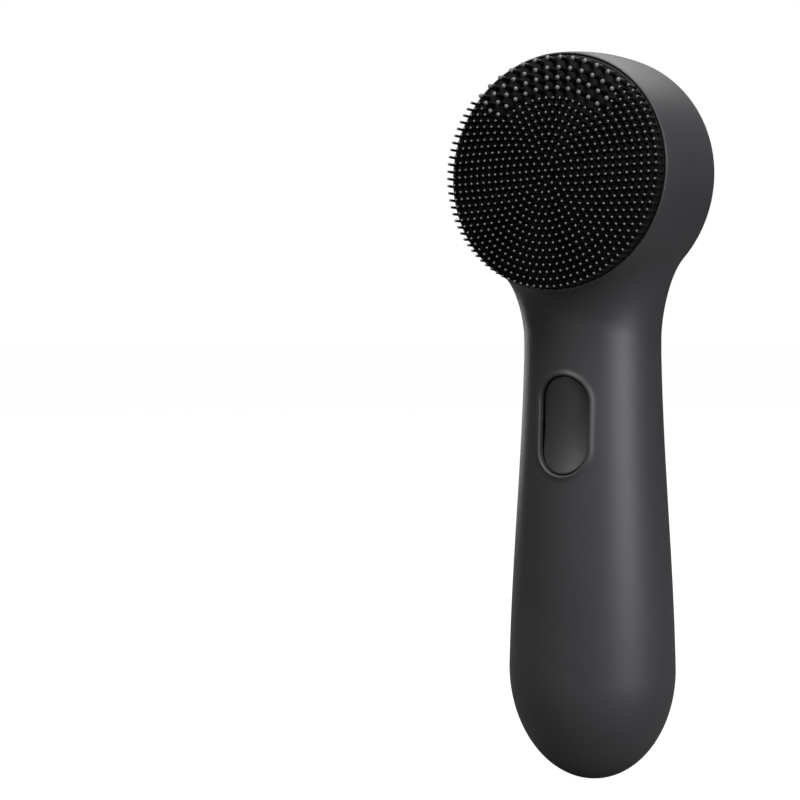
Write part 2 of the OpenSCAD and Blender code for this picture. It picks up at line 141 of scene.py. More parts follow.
def head_distance(x, y, z):
    """Distance from the head's side wall or dome, and its direction."""
    dz = z - HEAD_Z
    rho = np.maximum(np.hypot(x, dz), 1e-6)
    t = (y + FACE_Y) / (WIDEST_Y + FACE_Y)
    wall = RIM_R + (HEAD_R - RIM_R) * t + 4 * WALL_BULGE * t * (1 - t)
    slope = ((HEAD_R - RIM_R) + 4 * WALL_BULGE * (1 - 2 * t)) / (WIDEST_Y + FACE_Y)
    wall_len = np.sqrt(1 + slope**2)
    u = rho / HEAD_R
    v = np.maximum(y - WIDEST_Y, 0) / (DOME_Y - WIDEST_Y)
    h = u**DOME_POWER + v**DOME_POWER
    g = h ** (1 / DOME_POWER) - 1
    common = h ** (1 / DOME_POWER - 1)
    g_rho = common * u ** (DOME_POWER - 1) / HEAD_R
    g_y = common * v ** (DOME_POWER - 1) / (DOME_Y - WIDEST_Y)
    g_len = np.maximum(np.hypot(g_rho, g_y), 1e-9)
    front = y <= WIDEST_Y
    dist = np.where(front, (rho - wall) / wall_len, g / g_len)
    d_rho = np.where(front, 1 / wall_len, g_rho / g_len)
    d_y = np.where(front, -slope / wall_len, g_y / g_len)
    return dist, d_rho * x / rho, d_y, d_rho * dz / rho


def body_distance(x, y, z):
    """Distance from the whole outer form, with a round fillet between the neck and the head.

    The CAD's flare at the back of the neck is left out, and core_rear stands out of the sleeve
    there by up to 2.6 mm, near z = 119."""
    r = np.maximum(np.hypot(x, y), 1e-6)
    a = r - grip_radius(z)
    b, bx, by, _ = head_distance(x, y, z)
    c = np.clip((x * bx + y * by) / r, -0.98, 0.98)
    frontness = np.clip(-y / r, 0, 1) ** 2
    fillet = SIDE_FILLET + (FRONT_FILLET - SIDE_FILLET) * frontness
    u, v = fillet - a, fillet - b
    blend = (u - c * v > 0) & (v - c * u > 0) & (u > 0) & (v > 0) & (z < NECK_TOP)
    span = np.sqrt(np.maximum(u * u + v * v - 2 * u * v * c, 0) / (1 - c * c))
    return np.where(blend, np.minimum(fillet - span, np.minimum(a, b)), np.minimum(a, b))


SEARCH_R, SEARCH_STEPS = 48.0, 34


def slice_ring(z, angles, centre_y):
    """Points of the outer form at height z, in the given directions round the slice's centre."""
    cx, cy = np.cos(angles), np.sin(angles)
    low, high = np.zeros(len(angles)), np.full(len(angles), SEARCH_R)
    for _ in range(SEARCH_STEPS):
        mid = (low + high) / 2
        inside = body_distance(cx * mid, centre_y + cy * mid, np.full(len(angles), z)) < 0
        low, high = np.where(inside, mid, low), np.where(inside, high, mid)
    mid = (low + high) / 2
    return np.column_stack([cx * mid, centre_y + cy * mid, np.full(len(angles), z)])


def skin_point(x, z, side, sink=0.0):
    """A point of the grip at x and z, on the front (side -1) or the back (side 1)."""
    r = grip_radius(z) - sink
    return np.column_stack([x, side * np.sqrt(np.maximum(r * r - x * x, 0)), z])


def skin_normal(x, z, side):
    """The outward direction at skin_point."""
    p = skin_point(x, z, side)
    slope = (grip_radius(z + 0.05) - grip_radius(z - 0.05)) / 0.1
    r = np.hypot(p[:, 0], p[:, 1])
    n = np.column_stack([p[:, 0] / r, p[:, 1] / r, -slope])
    return n / np.linalg.norm(n, axis=1)[:, None]


# ---- slot-shaped outlines --------------------------------------------------------------------


class Slot:
    """An upright slot outline, clockwise from its top as seen with +X to the right."""

    def __init__(self, length, width, z, arc=20, straight=14):
        self.half, self.r, self.z = (length - width) / 2, width / 2, z
        right = [(math.cos(a), math.sin(a), self.half) for a in np.linspace(math.pi / 2, 0, arc)]
        right += [(1.0, 0.0, c) for c in np.linspace(self.half, -self.half, straight + 1)[1:-1]]
        right += [(math.cos(a), math.sin(a), -self.half) for a in np.linspace(0, -math.pi / 2, arc)]
        left = [(-nx, nz, c) for nx, nz, c in right[-2:0:-1]]
        self.table = np.array(right + left)

    def outline(self, d=0.0):
        """x and z of the outline moved outward by d."""
        r = self.r + d
        return r * self.table[:, 0], self.z + self.table[:, 2] + r * self.table[:, 1]

    def distance(self, x, z):
        """Distance outside the outline."""
        dz = np.abs(z - self.z) - self.half
        return np.hypot(x, np.maximum(dz, 0)) - self.r


button_slot = Slot(BUTTON_L, BUTTON_W, BUTTON_Z)
inlay_slot = Slot(INLAY_Z1 - INLAY_Z0, INLAY_W, (INLAY_Z0 + INLAY_Z1) / 2, arc=30, straight=26)


# ---- the sleeve ------------------------------------------------------------------------------

RIDGE_LINES = [152.3, 145.7, 139.2, 132.8, 126.3, 119.8]
RIDGE_HALF = [9.4, 15.3, 18.2, 17.6, 16.9, 13.6]
RIDGE_DEPTH = 0.85


def ridge_depth(x, z):
    """How far the thumb rest's ramps go in. Each steps in below its line and comes back out."""
    depth = np.zeros_like(x)
    for top, low, w0, w1 in zip(RIDGE_LINES, RIDGE_LINES[1:], RIDGE_HALF, RIDGE_HALF[1:]):
        s = np.clip((top - z) / (top - low), 0, 1)
        half = w0 + (w1 - w0) * s
        across = np.clip(1 - (x / half) ** 2, 0, 1) ** 0.9
        step = 1 - (1 - np.clip(s / 0.3, 0, 1)) ** 2
        ramp = step * (1 - s**2)
        depth += np.where((z <= top) & (z > low), RIDGE_DEPTH * across * ramp, 0)
    return depth


def row_heights():
    """Heights of the rows of the skin, closer together where the form turns or steps."""
    rows = []
    base_angle = math.acos(BASE_R / GRIP_R)
    rows += [GRIP_Z - CAP_B * math.sin(a) for a in np.linspace(base_angle, 0, 34)]
    rows += list(np.arange(GRIP_Z + 0.8, 104, 0.8))
    rows += list(np.arange(104, 118, 0.45))
    fine = []
    for top, low in zip(RIDGE_LINES, RIDGE_LINES[1:]):
        s = np.concatenate([[0.0, 0.004], np.linspace(0.03, 0.3, 9), np.linspace(0.36, 0.97, 10)])
        fine += list(top - s * (top - low))
    fine += [RIDGE_LINES[-1], RIDGE_LINES[-1] - 0.2, RIDGE_LINES[-1] - 0.6, 118.4]
    rows += sorted(fine)
    start = math.asin((RIDGE_LINES[0] + 0.3 - HEAD_Z) / HEAD_R)
    rows += [HEAD_Z + HEAD_R * math.sin(a) for a in np.linspace(start, math.radians(89.6), 84)]
    rows = sorted(rows)
    return [z for i, z in enumerate(rows) if i == 0 or z - rows[i - 1] > 0.004]


COLUMNS = 400
ANGLES = np.arange(COLUMNS) / COLUMNS * 2 * math.pi


def patch(mesh, rows, grid, slot, side, reach, profile, wall):
    """Fits a slot's rounded edge into the grid of the grip. Returns the cells it takes."""
    middle = COLUMNS * 3 // 4 if side < 0 else COLUMNS // 4
    width = int(math.ceil((slot.r + reach) / GRIP_R / 0.8 / (2 * math.pi / COLUMNS)))
    cols = range(middle - width, middle + width + 1)
    low, high = slot.z - slot.half - slot.r - reach, slot.z + slot.half + slot.r + reach
    heights = np.array(rows)
    r0 = int(np.searchsorted(heights, low) - 1)
    r1 = int(np.searchsorted(heights, high) + 1)

    def flat(angle, z):
        return Vector((float(angle - ANGLES[middle]) * GRIP_R, float(z)))

    # the slot's loops, from the outermost to the wall's inner end
    loops = []
    for d, h in profile:
        x, z = slot.outline(d)
        loops.append(mesh.points(skin_point(x, z, side) + h * skin_normal(x, z, side)))
    x, z = slot.outline(0)
    inward = np.array([0, -side, 0])
    for depth in wall:
        loops.append(mesh.points(skin_point(x, z, side) + depth * inward))

    # triangles between the outermost loop and the grid
    x, z = slot.outline(profile[0][0])
    ring_angle = np.arctan2(skin_point(x, z, side)[:, 1], x) % (2 * math.pi)
    coords = [flat(a, h) for a, h in zip(ring_angle, z)]
    keys = list(loops[0])
    n = len(coords)
    edges = [(i, (i + 1) % n) for i in range(n)]
    border = []
    for i in range(r0, r1 + 1):
        for j in cols:
            px = grip_radius(heights[i]) * math.cos(ANGLES[j])
            edge = i in (r0, r1) or j in (cols[0], cols[-1])
            if edge or slot.distance(px, heights[i]) > profile[0][0] + 0.35:
                if edge:
                    border.append(len(coords))
                coords.append(flat(ANGLES[j], heights[i]))
                keys.append(grid[i][j])
    out = delaunay_2d_cdt(coords, edges, [], 0, 1e-6)
    verts, origin = out[0], out[3]
    for f in out[2]:
        centre = sum((verts[i] for i in f), Vector((0, 0))) / len(f)
        px = float(grip_radius(centre[1])) * math.cos(ANGLES[middle] + centre[0] / GRIP_R)
        if slot.distance(px, centre[1]) > profile[0][0] - 1e-3:
            ids = [keys[origin[i][0]] for i in f]
            a, b, c = (np.array(mesh.verts[k]) for k in ids)
            out_way = np.cross(b - a, c - a)
            mesh.faces.append(ids if out_way[1] * side > 0 else ids[::-1])
    first = len(mesh.faces)
    mesh.strips(loops)
    if side > 0:
        mesh.faces[first:] = [f[::-1] for f in mesh.faces[first:]]
    return {(i, j % COLUMNS) for i in range(r0, r1) for j in list(cols)[:-1]}


# From here up, the slices' centre moves from the grip's axis to the head's widest plane.
TURN_Z = 112


def make_sleeve(material):
    """The whole outer skin: rows of points, the two slots' edges, the crown and the foot."""
    rows = row_heights()
    mesh = Mesh()
    grid = []
    for z in rows:
        t = min(1, max(0, (z - TURN_Z) / (HEAD_Z + HEAD_R - TURN_Z)))
        points = slice_ring(z, ANGLES, WIDEST_Y * t)
        points[:, 1] -= ridge_depth(points[:, 0], points[:, 2]) * (points[:, 1] > 0)
        grid.append(mesh.points(points))
    taken = patch(
        mesh, rows, grid, button_slot, -1, 2.6,
        [(1.5, 0), (1.25, 0.035), (1.0, 0.11), (0.78, 0.2), (0.58, 0.28), (0.4, 0.31),
         (0.25, 0.28), (0.12, 0.19), (0.04, 0.07)],
        [0.1, 0.5, 1.2, 2.6],
    )
    taken |= patch(
        mesh, rows, grid, inlay_slot, 1, 1.6,
        [(0.5, 0), (0.16, 0), (0.09, -0.02), (0.03, -0.07)],
        [0.14, 0.6, SLEEVE_T],
    )
    for i in range(len(rows) - 1):
        for j in range(COLUMNS):
            if (i, j) not in taken:
                k = (j + 1) % COLUMNS
                mesh.faces.append([grid[i][j], grid[i][k], grid[i + 1][k], grid[i + 1][j]])
    top = mesh.points([[0, WIDEST_Y, HEAD_Z + HEAD_R]])[0]
    for j in range(COLUMNS):
        mesh.faces.append([grid[-1][j], grid[-1][(j + 1) % COLUMNS], top])
    # the small flat that the brush stands on, with a softened edge
    base = [mesh.points([[r * math.cos(a), r * math.sin(a), 0] for a in ANGLES]) for r in (4.2, 2.0)]
    mesh.strips([base[1], base[0], grid[0]])
    centre = mesh.points([[0, 0, 0]])[0]
    for j in range(COLUMNS):
        mesh.faces.append([centre, base[1][(j + 1) % COLUMNS], base[1][j]])
    return cut_face(mesh, material)


def cut_face(mesh, material):
    """Cuts the head off at the brush face, and turns the edge into a rim round the pad."""
    bm = bmesh.new()
    for v in mesh.verts:
        bm.verts.new(v)
    bm.verts.ensure_lookup_table()
    for f in mesh.faces:
        if len(set(f)) > 2:
            try:
                bm.faces.new([bm.verts[i] for i in f])
            except ValueError:  # the face is there already
                pass
    plane_y = -FACE_Y + 0.3
    bmesh.ops.bisect_plane(
        bm, geom=bm.verts[:] + bm.edges[:] + bm.faces[:], dist=1e-5,
        plane_co=(0, plane_y, 0), plane_no=(0, -1, 0), clear_outer=True,
    )
    loose = [v for v in bm.verts if not v.link_faces]
    bmesh.ops.delete(bm, geom=loose, context="VERTS")
    bmesh.ops.remove_doubles(bm, verts=bm.verts[:], dist=1e-4)
    rim = [v for v in bm.verts if v.is_boundary and abs(v.co.y - plane_y) < 1e-3 and v.co.z > NECK_Z]
    rim.sort(key=lambda v: math.atan2(v.co.z - HEAD_Z, v.co.x))
    out = np.array([[v.co.x, v.co.z - HEAD_Z] for v in rim])
    radius = np.hypot(out[:, 0], out[:, 1])
    unit = out / radius[:, None]
    inner = PAD_R + FIT
    # radius and y of the rim's rings, from the outer wall over the lip and down to the pad's seat
    steps = [
        (radius - 0.03, -FACE_Y + 0.17), (radius - 0.1, -FACE_Y + 0.07), (radius - 0.22, -FACE_Y),
        ((radius + inner) / 2 - 0.03, -FACE_Y), (inner + 0.13, -FACE_Y),
        (inner + 0.04, -FACE_Y + 0.05), (inner, -FACE_Y + 0.15), (inner, -PAD_BACK + 0.05),
        (PAD_SEAT_R, -PAD_BACK + 0.05), (PAD_SEAT_R, -PAD_BACK + 0.9),
    ]
    last = rim
    for r, y in steps:
        reach = np.broadcast_to(r, radius.shape)
        ring = [bm.verts.new((a * q, y, HEAD_Z + b * q)) for (a, b), q in zip(unit, reach)]
        for i in range(len(rim)):
            j = (i + 1) % len(rim)
            bm.faces.new([last[i], last[j], ring[j], ring[i]])
        last = ring
    bmesh.ops.recalc_face_normals(bm, faces=bm.faces[:])
    data = bpy.data.meshes.new("sleeve")
    for v in bm.verts:
        v.co *= MM
    bm.to_mesh(data)
    bm.free()
    data.materials.append(material)
    data.polygons.foreach_set("use_smooth", [True] * len(data.polygons))
    data.set_sharp_from_angle(angle=math.radians(50))
    obj = bpy.data.objects.new("sleeve", data)
    bpy.context.scene.collection.objects.link(obj)
    return obj


# ---- button ----------------------------------------------------------------------------------


def make_button(material):
    """The dished cap of the button, with a rounded edge and a skirt that goes into the sleeve."""
    slot = button_slot
    mesh = Mesh()

    def face_depth(x, z):
        t = (z - slot.z) / (slot.half + slot.r)
        return BUTTON_DISH - BUTTON_RISE * t**2 + 0.004 * x**2

    def ring(d, drop):
        x, z = slot.outline(d)
        p = skin_point(x, z, -1)
        p[:, 1] += face_depth(x, z) + drop
        return mesh.points(p)

    drops = [(0, 3.2), (0, 0.9), (0, 0.55), (-0.02, 0.36), (-0.09, 0.18), (-0.2, 0.07),
             (-0.36, 0.01), (-0.6, 0)]
    loops = [ring(-BUTTON_GAP + d, drop) for d, drop in drops]
    for d in np.linspace(-1.2, -slot.r + 0.12, 9):
        loops.append(ring(d, 0))
    mesh.strips(loops)
    last = loops[-1]
    n = len(last)
    for i in range(n // 2):
        a, b, c, d = last[i], last[(i + 1) % n], last[(n - i - 1) % n], last[(n - i) % n]
        ids = list(dict.fromkeys([a, b, c, d]))
        if len(ids) > 2:
            mesh.faces.append(ids)
    return add_object("button", mesh.verts, mesh.faces, [material], sharp=60)


# ---- rear panel and flap ---------------------------------------------------------------------


def domain_mesh(outline, inside, pitch, lift, skirt, back=False):
    """A plate over an outline in x and z, as triangles, with a rounded edge and a skirt.

    lift(x, z) gives points in space, and skirt lists (inward offset, drop) from the edge in.
    With back, the skirt's inner end is closed by a second skin."""
    mesh = Mesh()
    outline = np.array(outline)
    n = len(outline)
    ahead = np.roll(outline, -1, 0) - outline
    side = np.column_stack([ahead[:, 1], -ahead[:, 0]])
    side /= np.linalg.norm(side, axis=1)[:, None]
    before = np.roll(side, 1, 0)
    inward = (side + before) / (1 + (side * before).sum(1))[:, None].clip(0.3)
    if not inside(*(outline[: n // 8 + 1] + 0.2 * inward[: n // 8 + 1]).T)[0]:
        inward = -inward
    loops = []
    flat = outline
    for offset, drop in skirt:
        flat = outline + offset * inward
        p = lift(flat[:, 0], flat[:, 1])
        p[:, 1] -= drop
        loops.append(mesh.points(p))
    mesh.strips(loops)
    plate = len(mesh.faces)  # the faces from here on are the plate's own
    coords = [Vector(map(float, q)) for q in flat]
    edges = [(i, (i + 1) % n) for i in range(n)]
    lo, hi = flat.min(0), flat.max(0)
    xs, zs = np.meshgrid(np.arange(lo[0], hi[0], pitch), np.arange(lo[1], hi[1], pitch))
    xs, zs = xs.ravel() + pitch / 2, zs.ravel() + pitch / 2
    near = np.min(np.hypot(xs[:, None] - flat[:, 0], zs[:, None] - flat[:, 1]), axis=1)
    keep = inside(xs, zs) & (near > pitch * 0.55)
    keys = list(loops[-1]) + mesh.points(lift(xs[keep], zs[keep]))
    coords += [Vector((float(x), float(z))) for x, z in zip(xs[keep], zs[keep])]
    out = delaunay_2d_cdt(coords, edges, [], 1, 1e-6)
    for f in out[2]:
        ids = [keys[out[3][i][0]] for i in f]
        a, b, c = (np.array(mesh.verts[i]) for i in ids[:3])
        mesh.faces.append(ids[::-1] if np.cross(b - a, c - a)[1] < 0 else ids)
    if back:
        behind = lift(xs[keep], zs[keep])
        behind[:, 1] -= skirt[0][1]
        twin = dict(zip(loops[-1], loops[0]))
        twin.update(zip(keys[n:], mesh.points(behind)))
        mesh.faces += [[twin[i] for i in f[::-1]] for f in mesh.faces[plate:]]
    return mesh


def slot_part(slot, shrink, z_cut, upper):
    """The part of a slot's outline above or below z_cut, closed by a straight line."""
    count = 14
    x, z = slot.outline(-shrink)
    keep = z > z_cut + 0.3 if upper else z < z_cut - 0.3
    pts = [(a, b) for a, b, k in zip(x, z, keep) if k]
    side = slot.r - shrink
    if upper:
        half = len([1 for a, b in pts if a >= 0])
        right, left = pts[:half], pts[half:]
        return right, [(side, z_cut), (-side, z_cut)], left
    pts = [(side, z_cut)] + pts + [(-side, z_cut)]
    return pts, [(-side + 2 * side * i / count, z_cut) for i in range(1, count)], []


def make_panel(material):
    """The sunk glossy panel, with a half-moon nail notch in its lower edge."""
    right, cut, left = slot_part(inlay_slot, FIT, FLAP_Z + SEAM, True)
    half = math.sqrt(NOTCH_R**2 - (FLAP_Z + SEAM - NOTCH_Z) ** 2)
    arc = math.asin(half / NOTCH_R)
    notch = [
        (NOTCH_R * math.sin(a), NOTCH_Z + NOTCH_R * math.cos(a)) for a in np.linspace(arc, -arc, 26)
    ]
    bottom = [cut[0], ((cut[0][0] + half) / 2, cut[0][1])] + notch
    bottom += [((cut[1][0] - half) / 2, cut[1][1]), cut[1]]
    outline = right + bottom + left

    def inside(x, z):
        out = inlay_slot.distance(x, z) < -0.1
        return out & (z > FLAP_Z) & (np.hypot(x, z - NOTCH_Z) > NOTCH_R)

    def lift(x, z):
        return skin_point(x, z, 1, PANEL_SINK)

    mesh = domain_mesh(
        outline, inside, 0.8, lift,
        [(0, 0.75), (0, 0.16), (0.03, 0.07), (0.08, 0.02), (0.16, 0)],
    )
    return add_object("panel", mesh.verts, mesh.faces, [material], sharp=55)


def make_scoop(material):
    """The hollow under the nail notch."""
    mesh = Mesh()
    loops = []
    for k in range(9):
        r = NOTCH_R + 0.25 - 0.62 * k
        half = math.sqrt(max(r * r - (FLAP_Z - 0.9 - NOTCH_Z) ** 2, 0.01))
        arc = math.asin(min(1, half / r))
        a = np.linspace(-arc, arc, 30)
        x, z = r * np.sin(a), NOTCH_Z + r * np.cos(a)
        depth = PANEL_SINK + 0.35 + 1.1 * (1 - ((NOTCH_R + 0.25 - r) / 5 - 1) ** 2)
        points = skin_point(x, z, 1)
        points[:, 1] -= depth
        loops.append(mesh.points(points))
    mesh.strips(loops, closed=False)
    return add_object("notch_scoop", mesh.verts, mesh.faces, [material])


def make_flap(material):
    """The port flap, flush with the sleeve, with the knuckle that its pin runs through."""
    top = FLAP_Z - FLAP_GAP
    low, cut, _ = slot_part(inlay_slot, FIT, top, False)

    def inside(x, z):
        return (inlay_slot.distance(x, z) < -0.1) & (z < top)

    def lift(x, z):
        return skin_point(x, z, 1, 0.01)

    mesh = domain_mesh(
        low + cut, inside, 0.8, lift,
        [(0, 1.0), (0, 0.2), (0.03, 0.1), (0.09, 0.03), (0.18, 0)], back=True,
    )
    turn = np.arange(20) / 20 * 2 * math.pi
    loops = [
        mesh.points(np.column_stack([
            np.full(len(turn), x), PIN_Y + r * np.cos(turn), PIN_Z + r * np.sin(turn)
        ]))
        for x, r in ((-1.5, 0.3), (-1.5, 0.44), (-1.44, 0.5), (1.44, 0.5), (1.5, 0.44), (1.5, 0.3))
    ]
    mesh.strips(loops + [loops[0]])
    return add_object("flap", mesh.verts, mesh.faces, [material], sharp=50)


def inside_polygon(corners, x, z):
    """Which points lie inside a polygon, by counting the edges to one side."""
    hits = np.zeros(len(x), int)
    for (x0, z0), (x1, z1) in zip(corners, corners[1:] + corners[:1]):
        if z0 != z1:
            cross = x0 + (z - z0) / (z1 - z0) * (x1 - x0)
            hits += ((z0 > z) != (z1 > z)) & (x < cross)
    return hits % 2 == 1


def densely(corners, pitch):
    """A polygon's outline with points no further apart than pitch."""
    out = []
    for (x0, z0), (x1, z1) in zip(corners, corners[1:] + corners[:1]):
        n = max(1, math.ceil(math.hypot(x1 - x0, z1 - z0) / pitch))
        out += [(x0 + (x1 - x0) * k / n, z0 + (z1 - z0) * k / n) for k in range(n)]
    return out


def make_mark(material):
    """The battery mark on the flap: a cell in outline with a charging bolt in it."""
    w, h, t = MARK_W, MARK_H, MARK_LINE
    side = w / 2 - 1.1
    bracket = [(side, h / 2), (1.7, h / 2), (1.7, h / 2 - t), (side - t, h / 2 - t),
               (side - t, t - h / 2), (1.7, t - h / 2), (1.7, -h / 2), (side, -h / 2)]
    bolt = [(0.75, 1.9), (-1.15, -0.25), (-0.12, -0.25), (-0.75, -1.9), (1.15, 0.25), (0.12, 0.25)]
    terminal = [(w / 2, 0.95), (w / 2 - 0.6, 0.95), (w / 2 - 0.6, -0.95), (w / 2, -0.95)]
    whole = Mesh()
    for shape in (bracket, [(-x, z) for x, z in bracket], bolt, terminal):
        corners = [(x, z + MARK_Z) for x, z in shape]

        def inside(x, z):
            return inside_polygon(corners, x, z)

        def lift(x, z):
            return skin_point(x, z, 1, -0.008)

        part = domain_mesh(densely(corners, 0.35), inside, 0.35, lift, [(0, 0.1), (0, 0)], back=True)
        start = len(whole.verts)
        whole.verts += part.verts
        whole.faces += [[start + i for i in f] for f in part.faces]
    return add_object("battery_mark", whole.verts, whole.faces, [material], sharp=40)


# ---- brush pad -------------------------------------------------------------------------------

CROWN_R = (PAD_R**2 + PAD_CROWN**2) / (2 * PAD_CROWN)


def crown(r):
    """How far the pad's face stands out at a distance r from its middle."""
    return np.sqrt(CROWN_R**2 - np.asarray(r, float) ** 2) - CROWN_R + PAD_CROWN


def make_pad(material):
    """The pad's crowned face, its rounded edge and its flat back."""
    mesh = Mesh()
    count = 240
    angles = np.arange(count) / count * 2 * math.pi
    outline = [(PAD_R, -PAD_BACK), (PAD_R, -PAD_EDGE + 0.25), (PAD_R - 0.05, -PAD_EDGE + 0.1),
               (PAD_R - 0.16, -PAD_EDGE - 0.02)]
    outline += [(r, -PAD_EDGE - float(crown(r))) for r in np.linspace(PAD_R - 0.35, 0.4, 40)]
    loops = [
        mesh.points([(r * math.cos(a), y, HEAD_Z + r * math.sin(a)) for a in angles])
        for r, y in outline
    ]
    mesh.strips(loops)
    mid = mesh.points([[0, -PAD_EDGE - PAD_CROWN, HEAD_Z]])[0]
    back = mesh.points([[0, -PAD_BACK, HEAD_Z]])[0]
    for j in range(count):
        k = (j + 1) % count
        mesh.faces.append([loops[-1][j], loops[-1][k], mid])
        mesh.faces.append([loops[0][k], loops[0][j], back])
    return add_object("pad", mesh.verts, mesh.faces, [material], sharp=60)


def bristle_places():
    """Places of the fine bristles in their rings, and of the thick ones at the top."""
    half = math.radians(SECTOR_HALF)
    fine = [(0.0, 0.0)]
    for ring in range(1, RINGS + 1):
        for k in range(6 * ring):
            a = k / (6 * ring) * 2 * math.pi
            r = ring * RING_PITCH
            from_top = abs((a - math.pi / 2 + math.pi) % (2 * math.pi) - math.pi)
            if r <= SECTOR_R or from_top >= half:
                fine.append((r * math.cos(a), r * math.sin(a)))
    thick = []
    for r, count, reach in THICK_ROWS:
        for a in np.radians(np.linspace(-reach, reach, count)):
            thick.append((r * math.sin(a), r * math.cos(a)))
    return fine, thick


def make_bristles(name, places, radius, sides, materials):
    """Bristles with a flared root and a round tip, in one mesh. The tips take the second material,
    whose paler colour is a painted highlight.
    """
    mesh = Mesh()
    turn = np.arange(sides) / sides * 2 * math.pi
    top = radius * BRISTLE_TAPER
    shoulder = BRISTLE_L - top
    levels = [(radius * 1.3, -0.05), (radius * 1.08, 0.18), (radius, 0.45), (top, shoulder)]
    levels += [(top * math.cos(a), shoulder + top * math.sin(a)) for a in (0.3, 0.7, 1.05, 1.3)]
    slots = []
    for x, z in places:
        root = -PAD_EDGE - float(crown(math.hypot(x, z)))
        loops = [
            mesh.points(np.column_stack([
                x + r * np.cos(turn), np.full(sides, root - h), HEAD_Z + z + r * np.sin(turn)
            ]))
            for r, h in levels
        ]
        mesh.strips(loops)
        mesh.faces.append(list(loops[-1]))
        # the round tip's faces take the second material, the painted highlight
        slots += [0] * (sides * 4) + [1] * (sides * 3 + 1)
    return add_object(name, mesh.verts, mesh.faces, materials, slots=slots)


# ---- materials -------------------------------------------------------------------------------


def nodes_of(name):
    """A new material, its node tree and its shader."""
    m = bpy.data.materials.new(name)
    m.use_nodes = True
    tree = m.node_tree
    return m, tree, tree.nodes["Principled BSDF"]


def link_noise(tree, scale, detail=3.0, rough=0.55):
    """Noise that stays with the object."""
    coords = tree.nodes.new("ShaderNodeTexCoord")
    noise = tree.nodes.new("ShaderNodeTexNoise")
    noise.inputs["Scale"].default_value = scale
    noise.inputs["Detail"].default_value = detail
    noise.inputs["Roughness"].default_value = rough
    tree.links.new(coords.outputs["Object"], noise.inputs["Vector"])
    return noise.outputs["Fac"]


def remap(tree, value, low, high):
    """Spreads a noise value over the range from low to high."""
    node = tree.nodes.new("ShaderNodeMapRange")
    node.inputs["From Min"].default_value = 0.3
    node.inputs["From Max"].default_value = 0.7
    node.inputs["To Min"].default_value = low
    node.inputs["To Max"].default_value = high
    tree.links.new(value, node.inputs["Value"])
    return node.outputs["Result"]


def material(name, dark, light, rough, grain=9000.0, cloud=60.0, bump=0.02, metal=0.0, spec=0.5,
             coat=0.0, coat_rough=0.1, sheen=0.0):
    """A moulded or metal finish: a slow change of colour, and a fine grain in gloss and height."""
    m, tree, shader = nodes_of(name)
    mix = tree.nodes.new("ShaderNodeMix")
    mix.data_type = "RGBA"
    mix.inputs["A"].default_value = (*dark, 1)
    mix.inputs["B"].default_value = (*light, 1)
    tree.links.new(remap(tree, link_noise(tree, cloud), 0.0, 1.0), mix.inputs["Factor"])
    tree.links.new(mix.outputs["Result"], shader.inputs["Base Color"])
    fine = link_noise(tree, grain, 2.0, 0.6)
    tree.links.new(remap(tree, fine, rough[0], rough[1]), shader.inputs["Roughness"])
    lump = tree.nodes.new("ShaderNodeBump")
    lump.inputs["Strength"].default_value = 0.35
    lump.inputs["Distance"].default_value = bump * MM
    tree.links.new(fine, lump.inputs["Height"])
    tree.links.new(lump.outputs["Normal"], shader.inputs["Normal"])
    shader.inputs["Metallic"].default_value = metal
    shader.inputs["Specular IOR Level"].default_value = spec
    shader.inputs["Coat Weight"].default_value = coat
    shader.inputs["Coat Roughness"].default_value = coat_rough
    shader.inputs["Sheen Weight"].default_value = sheen
    return m


soft = material("soft_touch", (0.028, 0.028, 0.0305), (0.032, 0.032, 0.0345), (0.44, 0.52))
pad_mat = material("bristle_silicone", (0.0030, 0.0030, 0.0032), (0.0045, 0.0045, 0.0047),
                   (0.40, 0.50), spec=0.25)
rod_mat = material("bristle_rods", (0.0034, 0.0034, 0.0036), (0.0050, 0.0050, 0.0052),
                   (0.30, 0.40), spec=0.45)
# The tips are the same silicone as the rods; their paler colour is a painted highlight where the
# tips catch the light.
tip_highlight_mat = material("bristle_tips_painted_highlight", (0.095, 0.095, 0.098), (0.125, 0.125, 0.128), (0.30, 0.38),
                   cloud=700.0, spec=0.6)
gloss = material("gloss_black", (0.004, 0.004, 0.0045), (0.0048, 0.0048, 0.0054), (0.10, 0.14),
                 bump=0.002, coat=0.4, coat_rough=0.05)
flap_mat = material("flap_soft", (0.021, 0.021, 0.0225), (0.024, 0.024, 0.0255), (0.5, 0.58))
mark_mat = material("mark_grey", (0.080, 0.080, 0.082), (0.090, 0.090, 0.092), (0.5, 0.6))

